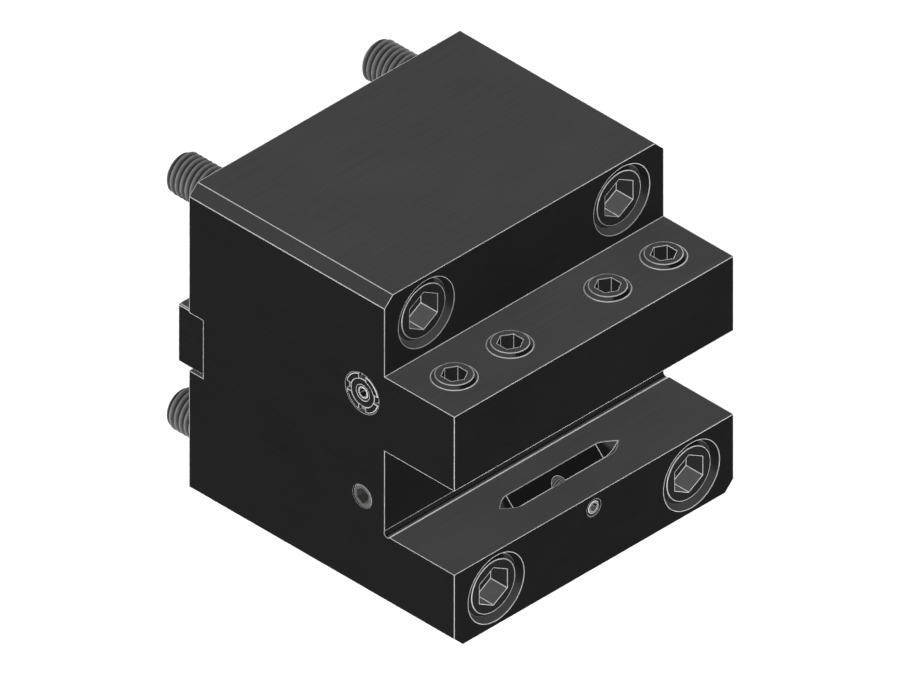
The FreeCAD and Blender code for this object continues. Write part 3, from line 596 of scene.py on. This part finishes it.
# %% [markdown]
# On the block three more things are marked. The coolant groove was milled with a pointed cutter,
# and where the cutter stopped it left a line across the groove at each end. The relief groove in
# the slot's inner corner, where no shank reaches, is where dust gathers most, and its rims are
# rubbed. And the rims of the big round holes are handled more than the long edges, so their strips
# are wider, while a hole that a nut, plug or small screw fills flush has hardly any rim to rub.

# %% Rims with strips of their own
FRONT, SIDE = -95 * MM, 50 * MM
SLOT_WALL, SLOT_FLOOR, JAW_TOP = -70 * MM, -25 * MM, 24 * MM
RIM_PLANES = ((1, FRONT), (1, SLOT_WALL), (2, JAW_TOP))
WIDE_RIM, SMALL_RIM, FAINT_RIM = 0.17 * MM, 0.06 * MM, 0.03 * MM
ON_PLANE = 0.005 * MM
LONGEST_CHORD = 2.2 * MM
CORNER_REACH = 4 * MM
NEAR_MIDDLE = 5 * MM


def own_rim(edge):
    """The strip's width on a round hole's rim, or None for any other edge.

    A rim is made of short chords in one of the faces, away from the slot's inner corner. The
    shut-off screw's hole is the one near the middle. Of the two in each side, the nozzle's is the
    upper one and the plug's the lower one.
    """
    ends = [v.co for v in edge.verts]
    from_corner = [math.hypot(co.y - SLOT_WALL, co.z - SLOT_FLOOR) for co in ends]
    if edge.calc_length() > LONGEST_CHORD or max(from_corner) < CORNER_REACH:
        return None
    if any(all(abs(co[axis] - at) < ON_PLANE for co in ends) for axis, at in RIM_PLANES):
        return WIDE_RIM if abs(ends[0].x) > NEAR_MIDDLE else SMALL_RIM
    if any(abs(abs(co.x) - SIDE) > ON_PLANE for co in ends):
        return None
    return SMALL_RIM if ends[0].z > 0 else FAINT_RIM


print("rims have strips of", [round(v / MM, 2) for v in (WIDE_RIM, SMALL_RIM, FAINT_RIM)], "mm")

# %% Lines left by the cutters
GROOVE_STOP = 16 * MM
GROOVE_HEIGHTS, GROOVE_SPAN = (-3.1, 0.01), (-90, -75)
RELIEF_RADIUS, RELIEF_AXIS = 1.1, (1.0, 0.7)
RELIEF_TOP = SLOT_FLOOR + (RELIEF_AXIS[1] + math.sqrt(RELIEF_RADIUS**2 - RELIEF_AXIS[0] ** 2)) * MM
NEAR = 0.02 * MM


def between(value, limits):
    """Whether a value in metres lies between two limits in millimetres."""
    return limits[0] * MM < value < limits[1] * MM


def witness_line(edge):
    """Whether an edge is the relief groove's upper rim, or crosses the coolant groove's end."""
    ends = [v.co for v in edge.verts]
    if all(abs(co.y - SLOT_WALL) + abs(co.z - RELIEF_TOP) < NEAR for co in ends):
        return True
    at_stop = all(abs(abs(co.x) - GROOVE_STOP) < NEAR for co in ends)
    in_groove = all(
        between(co.z - SLOT_FLOOR, GROOVE_HEIGHTS) and between(co.y, GROOVE_SPAN) for co in ends
    )
    return at_stop and in_groove and abs(ends[0].z - ends[1].z) > MM


print("the relief groove ends", round((RELIEF_TOP - SLOT_FLOOR) / MM, 2), "mm above the slot floor")

# %% The block
RELIEF_FRONT = ((-2.05, -1.15), (-0.6, 0.01))
RELIEF_BACK = ((-1.15, 0.2), (-0.6, 1.0))
RELIEF_RIM = ((-0.01, 0.05), (1.0, 1.35))
LEVEL_WITH_FLOOR = 0.005 * MM


def relief_dust(centre, normal, index):
    """Dust in the front of the slot's relief groove, none in its back, and rubbed rims."""
    from_wall, from_floor = centre.y - SLOT_WALL, centre.z - SLOT_FLOOR
    front, back, rim = (
        between(from_wall, across) and between(from_floor, up)
        for across, up in (RELIEF_FRONT, RELIEF_BACK, RELIEF_RIM)
    )
    if front:
        return BRIGHT if from_floor > -LEVEL_WITH_FLOOR else DUSTY
    if abs(normal.x) > 0.5:
        return index
    if back:
        return PLAIN
    return BRIGHT if rim and index else index


block = copy_with_rubbed_edges(
    "holder_body", "block", block_steel, EDGE_STRIP, bare_edge, own_rim,
    witness_line, relief_dust,
)
print("block:", len(block.data.polygons), "faces")

# %% [markdown]
# The pilot and the keys are rubbed like the block. The ring nut and the ball are small, and a
# spanner and fingers reach them often, so their edges are brighter. The ring nut's four notches
# hold dust on their floors.

# %% The other copies
NOTCH_FLOORS = (0.5, 3)


def notch_dust(centre, normal, index):
    """Dust on the floors of a ring nut's spanner notches."""
    on_floor = abs(normal.x) > 0.99 and between(SIDE - abs(centre.x), NOTCH_FLOORS)
    return DUSTY if on_floor else index


copies = [
    copy_with_rubbed_edges(
        "locating_pilot", "block", block_steel, EDGE_STRIP, bare_edge
    )
]
for side in SIDES:
    ring, ball, key = f"nozzle_ring_{side}", f"nozzle_ball_{side}", f"locating_key_{side}"
    copies += [
        copy_with_rubbed_edges(
            ring, "block", nozzle_steel, RING_STRIP, bright_edge, dust=notch_dust
        ),
        copy_with_rubbed_edges(ball, ball, nozzle_steel, BALL_STRIP, bright_edge),
        copy_with_rubbed_edges(key, "block", key_steel, EDGE_STRIP, bare_edge),
    ]
print("copies:", [piece.name for piece in copies])

# %% [markdown]
# ## Screws as one turned surface
#
# Each screw is a profile carried round an axis: two parameters, the distance along the profile and
# the angle. The profile starts at the centre of the socket's floor, climbs the socket's wall,
# crosses the face, runs down the outside and ends at the centre of the tip. Two things aren't
# round. The socket is a hexagon, so on its rows the radius is stretched to reach the corners. The
# thread climbs one pitch a turn, so a cosine wave of height and angle is taken off the radius.
# A screw could also be a cylinder with booleans, but one grid has no seams to heal, and its
# hexagon, bevels and thread are exact.

# %% A profile with strips at its corners
def strip_corners(corners, gaps):
    """Points of an outline with one more at a gap before and after each inner corner.

    A corner is (radius, height, hexagon share). The two stretches at each corner are flagged: they
    are its strips. The last two corners are the tip's, which stay black.
    """
    corners = np.array(corners, float)
    inner = corners[1:-1]

    def towards(others):
        away = (others - inner)[:, :2]
        step = np.reshape(gaps, (-1, 1)) * away / np.linalg.norm(away, axis=1, keepdims=True)
        return inner + np.pad(step, ((0, 0), (0, 1)))

    around = np.stack([towards(corners[:-2]), inner, towards(corners[2:])], axis=1)
    points = np.vstack([corners[:1], around.reshape(-1, 3), corners[-1:]])
    strips = np.arange(len(points) - 1) % 3 != 0
    strips[-6:] = False
    return points, strips


def refine(points, strips, top, bottom, step):
    """The same outline with points at most a step apart where its height is between two limits."""
    rows, flags = [points[:1]], []
    for start, end, flag in zip(points[:-1], points[1:], strips):
        threaded = min(start[1], end[1]) < top and max(start[1], end[1]) > bottom
        parts = max(1, math.ceil(abs(end[1] - start[1]) / step)) if threaded else 1
        shares = np.arange(1, parts + 1)[:, None] / parts
        rows.append(start + (end - start) * shares)
        flags += [flag] * parts
    return np.vstack(rows), np.array(flags)


pin = [(0, 0, 0), (4, 0, 0), (5, -1, 0), (5, -8, 0), (4, -9, 0), (0, -9, 0)]
sample, sample_strips = strip_corners(pin, 0.1)
print("a plain pin has", len(sample), "profile points,", sample_strips.sum(), "strips")

# %% The hexagon's angles
CORNERS = 6
KNURLS = 60
CORNER_LINE = 1.4
FIRST_CORNER = 90


def hexagon_columns():
    """Angles round a screw, closer at the socket's six corners, and the socket's stretch there.

    The columns are three degrees apart, with one more close to each side of each corner. A
    flat lies at the same distance from the axis all along, so the radius that reaches it at some
    angle is that distance over the cosine of the angle from the flat's middle.
    """
    sector = 360 / CORNERS
    even = np.arange(0, sector, 180 / KNURLS)
    from_corner = np.sort(np.append(even, [CORNER_LINE, sector - CORNER_LINE]))
    sectors = FIRST_CORNER + np.arange(CORNERS)[:, None] * sector
    angles = np.radians((sectors + from_corner).ravel())
    stretch = np.tile(1 / np.cos(np.radians(from_corner - sector / 2)), CORNERS)
    at_corner = np.tile((from_corner == 0) | (from_corner == from_corner.max()), CORNERS)
    return angles, stretch, at_corner


COLUMN_ANGLES, HEXAGON_STRETCH, CORNER_COLUMNS = hexagon_columns()
print(len(COLUMN_ANGLES), "columns,", CORNER_COLUMNS.sum(), "of them at corners")

# %% Thread and knurl
ROWS_PER_PITCH = 12
THREAD_DEPTH = 0.61
KNURL_START, KNURL_STEP = 1.6, 4


def thread_cut(angle, height, pitch, start, lead, turned):
    """How much a thread takes off the radius, and how high its surface stands from root to crest.

    The wave is the cosine of the height in pitches less the angle in turns, so its crest climbs
    one pitch a turn. Below the start it deepens over the lead. The share of a turn by which the
    thread was started later moves the whole wave up.
    """
    wave = 0.5 + 0.5 * np.cos(2 * np.pi * (height / pitch - turned) - angle)
    grown = np.clip((start - height) / lead, 0, 1)
    return THREAD_DEPTH * pitch * grown * (1 - wave), wave


def knurl_cut(angle, height, depth, top, bottom):
    """How much straight knurling takes off the radius: a cosine wave round the head."""
    band = np.clip((top - height) / depth, 0, 1) * np.clip((height - bottom) / depth, 0, 1)
    return depth * band * (0.5 - 0.5 * np.cos(KNURLS * angle))


print("a thread is cut", THREAD_DEPTH, "of its pitch deep")

# %% [markdown]
# With those cuts the whole surface is one sum over a grid: the cuts are taken off the radius, the
# radius and angle give two coordinates and the profile's height gives the third. The result is
# then turned to the screw's own way and moved to its place.

# %% From a profile to points in place
def turned_points(points, thread, knurl, place):
    """Carry a profile round its axis and put it in place; sizes are in millimetres.

    Each grid point is the radius times the cosine and sine of its angle, beside its height. The
    two ends of the profile come last. With the points go how high each stands from root to crest,
    and which rows are threaded.
    """
    radius, height, hexagon = (points[:, k, None] for k in range(3))
    angle = COLUMN_ANGLES[None, :]
    outside = hexagon < 0.5
    grid_radius = radius * (1 + hexagon * (HEXAGON_STRETCH[None, :] - 1))
    if knurl:
        grid_radius = grid_radius - outside * knurl_cut(angle, height, *knurl)
    crest, in_thread = np.ones(grid_radius.shape), np.zeros(len(points), bool)
    if thread:
        major, pitch, start, lead, turned = thread
        depth, crest = thread_cut(angle, height, pitch, start, lead, turned)
        in_thread = (outside & (height < start) & (radius > major - pitch)).ravel()
        cut = np.minimum(grid_radius, major - depth)
        grid_radius = np.where(in_thread[:, None], cut, grid_radius)
    grid = np.stack(
        [grid_radius * np.cos(angle), grid_radius * np.sin(angle), height + 0 * angle], axis=2
    ).reshape(-1, 3)
    poles = [(0, 0, points[0, 1]), (0, 0, points[-1, 1])]
    origin, outward, up = (np.array(v, float) for v in place)
    axes = np.array([np.cross(up, outward), up, outward])
    vertices = (np.vstack([grid, poles]) @ axes + origin) * MM
    return vertices, crest, in_thread


origin_place = ((0, 0, 0), (0, 0, 1), (0, 1, 0))
sample_points = turned_points(sample, None, None, origin_place)[0]
print("the plain pin has", len(sample_points), "points in space")

# %% The finish of each face
STEEL, EDGE, THREAD, SOCKET, SOCKET_EDGE = range(5)


def face_finishes(points, strips, in_thread):
    """Which finish each face of the grid has, row by row, and each triangle at the two ends.

    A stretch of the profile is in the socket where both its ends are on the hexagon, and threaded
    where both are in the thread. The socket's upright corners are strips too.
    """
    columns = len(COLUMN_ANGLES)
    above, below = points[:-1], points[1:]
    in_socket, at_socket = above[:, 2] * below[:, 2] > 0, above[:, 2] + below[:, 2] > 0
    finishes = np.where(in_thread[1:] & in_thread[:-1], THREAD, np.where(in_socket, SOCKET, STEEL))
    finishes[strips] = np.where(at_socket, SOCKET_EDGE, EDGE)[strips]
    by_face = np.repeat(finishes[:, None], columns, axis=1)
    walls = in_socket & (below[:, 1] > above[:, 1])
    by_face[walls[:, None] & CORNER_COLUMNS[None, :]] = SOCKET_EDGE
    return np.concatenate([by_face.ravel(), np.repeat([SOCKET, STEEL], columns)])


sample_finishes = face_finishes(sample, sample_strips, np.zeros(len(sample), bool))
print("the plain pin has", np.bincount(sample_finishes, minlength=5), "faces of each finish")

# %% From points to a closed mesh
def turned_mesh(name, points, strips, thread, knurl, place):
    """A turned surface: four-sided faces between neighbours, and triangles at the two ends."""
    vertices, crest, in_thread = turned_points(points, thread, knurl, place)
    rows, columns = crest.shape
    index = np.arange(rows * columns).reshape(rows, columns)
    beside = np.roll(index, -1, axis=1)
    quads = np.stack([index[:-1], index[1:], beside[1:], beside[:-1]], axis=2).reshape(-1, 4)
    first, last = rows * columns, rows * columns + 1
    top = np.stack([np.full(columns, first), index[0], beside[0]], axis=1)
    tip = np.stack([index[-1], np.full(columns, last), beside[-1]], axis=1)

    mesh = bpy.data.meshes.new(name)
    mesh.from_pydata(vertices, [], quads.tolist() + top.tolist() + tip.tolist())
    finishes = face_finishes(points, strips, in_thread)
    mesh.polygons.foreach_set("material_index", finishes.astype(np.int32))
    stored = mesh.attributes.new("crest", "FLOAT", "POINT")
    stored.data.foreach_set("value", np.append(crest.ravel(), [1, 1]).astype(np.float32))
    return mesh


print("one turn has", len(COLUMN_ANGLES), "faces in a row")

# %% [markdown]
# ## The screws themselves
#
# All the screws come from one function. It is told what a catalogue would say: thread size and
# pitch, head, socket and bevels. Length and place come from the frame, where each screw's box
# gives its face, its axis and its tip. The gap is the width of the strips beside its edges. Where
# the two edges of the bevel round its face want their own widths, rim_gaps gives them.

# %% Where a screw is
def place_in_frame(node, way):
    """Face centre of a screw in millimetres, the way its face looks, and its length that way."""
    low, high = (np.array(v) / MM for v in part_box(node))
    outward = np.array(way, float)
    centre, half = (low + high) / 2, (high - low) / 2
    reach = float(np.abs(half @ outward))
    return centre + outward * reach, outward, 2 * reach


bolt_length = place_in_frame("upper_mounting_bolt_left", (0, -1, 0))[2]
print("an upper mounting bolt is", round(bolt_length, 2), "mm long")

# %% A screw's outline
def screw_outline(size, length):
    """The corners of a screw's profile, the height its thread starts below, and its knurling.

    A corner is (radius, height below the face, hexagon share). Sizes are in millimetres.
    """
    radius, bevel, flat = size["radius"], size["bevel"], size["socket"] / 2
    corners = [(0, -size["depth"], 1), (flat, -size["depth"], 1), (flat, 0, 1)]
    knurl = None
    if "head" in size:
        head, head_height, head_bevel = size["head"], size["head_height"], size["head_bevel"]
        neck = size["shank"]
        corners += [
            (head - head_bevel, 0, 0),
            (head, -head_bevel, 0),
            (head, -head_height, 0),
            (neck, -head_height, 0),
        ]
        top = -length + size["thread_length"]
        if top < -head_height:
            corners += [(neck, top, 0), (radius, top - (radius - neck), 0)]
        if "knurl" in size:
            knurl = (size["knurl"], -KNURL_START * head_bevel, -head_height + head_bevel / 2)
    else:
        corners += [(radius - bevel, 0, 0), (radius, -bevel, 0)]
        top = -bevel
    corners += [(radius, -length + bevel, 0), (radius - bevel, -length, 0), (0, -length, 0)]
    return corners, top, knurl


stub = {"radius": 6.0, "bevel": 1.0, "socket": 6.0, "depth": 6.0}
print("a set screw has", len(screw_outline(stub, 25.0)[0]), "corners")

# %% One function for every screw
def make_screw(node, body, way, up, size, steel, edge, socket=None):
    """A screw that stands for a node of the frame. The size dict is in millimetres."""
    face, outward, length = place_in_frame(node, way)
    corners, top, knurl = screw_outline(size, length)
    gaps = np.full(len(corners) - 2, size["gap"])
    gaps[2:4] = size.get("rim_gaps", size["gap"])
    points, strips = strip_corners(corners, gaps)
    thread = None
    if "pitch" in size:
        pitch, start = size["pitch"], top - gaps.max()
        thread = (size["radius"], pitch, start, pitch / 2, size.get("turned", 0))
        points, strips = refine(points, strips, start, -length, pitch / ROWS_PER_PITCH)
    if knurl:
        points, strips = refine(points, strips, knurl[1], knurl[2], KNURL_STEP * knurl[0])
    mesh = turned_mesh(f"{node}_turned", points, strips, thread, knurl, (face, outward, up))
    finishes = [steel, edge, thread_finish, *(socket or (steel, bright_edge))]
    return finish_piece(mesh, f"{node}_turned", body, [node], finishes)


print("a thread gets", ROWS_PER_PITCH, "rows a pitch")

# %% [markdown]
# ## The mounting bolts
#
# Four bolts with knurled heads, sunk in the front, pull the block against the turret. On the real
# holder each thread starts at its own angle, so two of them are turned to where the picture shows
# their crests. The sockets are painted a little paler than the heads: painted light in the recess.

# %% The four mounting bolts
FORWARD, UPWARD, BACKWARD, DOWNWARD = (0, -1, 0), (0, 0, 1), (0, 1, 0), (0, 0, -1)
OUTWARD = {"left": (-1, 0, 0), "right": (1, 0, 0)}

MOUNTING_BOLT = {
    "radius": 6.0, "pitch": 1.75, "thread_length": 36.0, "shank": 5.82, "bevel": 1.0,
    "head": 9.0, "head_height": 12.0, "head_bevel": 1.25, "knurl": 0.16,
    "socket": 10.0, "depth": 6.0, "gap": 0.13, "rim_gaps": (0.15, 0.32),
}
THREAD_TURNED = {"upper_mounting_bolt_right": 0.22, "lower_mounting_bolt_left": -0.46}
bolts = []
for level in ("upper", "lower"):
    for side in SIDES:
        node = f"{level}_mounting_bolt_{side}"
        size = {**MOUNTING_BOLT, "turned": THREAD_TURNED.get(node, 0)}
        bolts.append(
            make_screw(
                node, node, FORWARD, UPWARD, size, screw_steel, bare_edge,
                (socket_steel, bright_edge),
            )
        )
print("bolts:", [len(piece.data.polygons) for piece in bolts])

# %% [markdown]
# ## Set screws
#
# The four clamping screws are as thick as the bolts but have no head. The screw that shuts off the
# coolant, and the ones that close the nozzle balls, are their small cousins with a finer thread.

# %% Clamping screws and small set screws
CLAMP_SCREW = {
    "radius": 6.0, "pitch": 1.75, "bevel": 1.0, "socket": 6.0, "depth": 6.0,
    "gap": 0.13, "rim_gaps": (0.17, 0.17),
}
SHUTOFF_SCREW = {
    "radius": 2.46, "pitch": 0.8, "bevel": 0.7, "socket": 2.5, "depth": 2.5,
    "gap": 0.12, "rim_gaps": (0.12, 0.2),
}
NOZZLE_SCREW = {
    "radius": 2.26, "pitch": 0.8, "bevel": 0.6, "socket": 2.5, "depth": 2.5, "gap": 0.12,
}
for side in SIDES:
    for row in ("outer", "inner"):
        node = f"clamp_screw_{row}_{side}"
        make_screw(
            node, node, UPWARD, BACKWARD, CLAMP_SCREW, block_steel, bare_edge
        )
    node = f"nozzle_screw_{side}"
    make_screw(
        node, node, OUTWARD[side], UPWARD, NOZZLE_SCREW, nozzle_steel, bright_edge
    )
shutoff = make_screw(
    "coolant_shutoff_screw", "coolant_shutoff_screw", FORWARD, UPWARD,
    SHUTOFF_SCREW, screw_steel, bright_edge,
)
print("shut-off screw:", len(shutoff.data.polygons), "faces")

# %% [markdown]
# ## Channel plugs and key screws
#
# The plugs close the drilled coolant channels. They are left as plain grey steel, so they stand
# out against the black block. The key screws sit deep in the keys on the back.

# %% Plugs and key screws
CHANNEL_PLUG = {
    "radius": 3.4, "bevel": 0.3, "socket": 4.0, "depth": 4.0,
    "gap": 0.08, "rim_gaps": (0.03, 0.1),
}
KEY_SCREW = {
    "radius": 2.0, "pitch": 0.7, "thread_length": 12.0, "shank": 2.0, "bevel": 0.4,
    "head": 3.5, "head_height": 4.0, "head_bevel": 0.4, "socket": 3.0, "depth": 2.0, "gap": 0.08,
}
plug_ways = {**OUTWARD, "bottom": DOWNWARD}
for name, way in plug_ways.items():
    up = BACKWARD if name == "bottom" else UPWARD
    node = f"channel_plug_{name}"
    make_screw(
        node, "block", way, up, CHANNEL_PLUG, plug_steel, bright_edge,
        (plug_socket, plug_socket),
    )
for side in SIDES:
    node = f"key_screw_{side}"
    make_screw(
        node, "block", BACKWARD, UPWARD, KEY_SCREW, screw_steel, bare_edge
    )
print("plugs:", sorted(plug_ways))

# %% [markdown]
# ## Seals
#
# A round rubber ring is fully described by its frame mesh, so the node stays and only gets its
# rubber.

# %% Rubber on the seals
seals = [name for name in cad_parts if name.endswith("_seal") or "_seal_" in name]
for name in seals:
    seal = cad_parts[name]
    seal.data.materials.clear()
    seal.data.materials.append(seal_rubber)
print("seals:", sorted(seals))

# %% [markdown]
# ## Floor, world and lights
#
# The picture has a plain white ground and even light from above with no cast shadows inside the
# slot. The white must not come from more light, because that would wash out the black steel. So
# the floor and the world are white only to camera rays and to reflections, and nearly dark to the
# light that bounces.

# %% A floor that looks white and bounces little
def seen_rays(finish):
    """1 for rays from the camera and for reflected or refracted rays, and 0 for diffuse ones."""
    kinds = ("Is Camera Ray", "Is Glossy Ray", "Is Transmission Ray")
    camera_ray, glossy_ray, passing_ray = (
        finish.node("ShaderNodeLightPath", output=kind) for kind in kinds
    )
    return camera_ray + glossy_ray + passing_ray


FLOOR_HALF = 4.0
FLOOR_GAP = 0.05 * MM
PAPER, PAPER_GLOW, PAPER_AS_LIT = 0.8, 0.12, 0.1
floor_z = cad_box[0].z - FLOOR_GAP
floor_mesh = bpy.data.meshes.new("floor")
floor_corners = [
    (x * FLOOR_HALF, y * FLOOR_HALF, floor_z) for x, y in ((-1, -1), (1, -1), (1, 1), (-1, 1))
]
floor_mesh.from_pydata(floor_corners, [], [(0, 1, 2, 3)])
floor = bpy.data.objects.new("floor", floor_mesh)
bpy.context.scene.collection.objects.link(floor)

paper = Finish("white_floor")
lit = paper.node("ShaderNodeBsdfDiffuse", {}, {"Color": (PAPER, PAPER, PAPER, 1)})
glow = paper.node("ShaderNodeEmission", {}, {"Color": (1, 1, 1, 1), "Strength": PAPER_GLOW})
white = paper.node("ShaderNodeAddShader", {}, {0: lit, 1: glow})
dim_colour = (PAPER_AS_LIT, PAPER_AS_LIT, PAPER_AS_LIT, 1)
dim = paper.node("ShaderNodeBsdfDiffuse", {}, {"Color": dim_colour})
floor_surface = paper.node("ShaderNodeMixShader", {}, {0: seen_rays(paper), 1: dim, 2: white})
paper.feed(paper.tree.nodes["Material Output"].inputs["Surface"], floor_surface)
floor_mesh.materials.append(paper.material)
print("floor at", round(floor_z, 4))

# %% The world
world = bpy.data.worlds.new("studio")
world.use_nodes = True
bpy.context.scene.world = world


class WorldFinish(Finish):
    """The world's nodes, written the same way as a material's."""

    def __init__(self, made_world):
        self.tree = made_world.node_tree


AMBIENT = 0.04
air = WorldFinish(world)
brightness = seen_rays(air) * (1 - AMBIENT) + AMBIENT
background = world.node_tree.nodes["Background"]
air.feed(background.inputs["Color"], (1, 1, 1, 1))
air.feed(background.inputs["Strength"], brightness)
print("ambient light", AMBIENT)

# %% [markdown]
# The light itself is three suns without shadows, which keep each family of faces at one tone, and
# one soft lamp overhead that does cast a shadow and grounds the block. Lamps of their own for
# every face would give the same tones, but they would not hold when a bolt slides out.

# %% Suns and a soft lamp
SUNS = {
    "key_sun": ((-0.425, -0.365, 0.828), 4.05),
    "back_sun": ((0.70, 0.69, 0.18), 2.2),
    "under_sun": ((-0.1, 0.1, -0.99), 1.2),
}
SOFT_SIZE, SOFT_POWER, SOFT_PLACE = 0.7, 0.25, Vector((-0.1, -0.15, 0.6))


def add_lamp(name, data, way):
    """Link a lamp that shines from one way and doesn't show in reflections."""
    lamp = bpy.data.objects.new(name, data)
    lamp.visible_glossy = False
    lamp.rotation_euler = Vector(way).to_track_quat("Z", "Y").to_euler()
    bpy.context.scene.collection.objects.link(lamp)
    return lamp


for name, (way, strength) in SUNS.items():
    sun = bpy.data.lights.new(name, "SUN")
    sun.energy = strength
    sun.use_shadow = False
    add_lamp(name, sun, way)

soft = bpy.data.lights.new("soft_lamp", "AREA")
soft.shape = "DISK"
soft.size = SOFT_SIZE
soft.energy = SOFT_POWER
add_lamp("soft_lamp", soft, SOFT_PLACE - VIEW_CENTRE).location = SOFT_PLACE
bpy.context.scene.view_settings.view_transform = "Standard"
print("lights:", [*SUNS, soft.name])
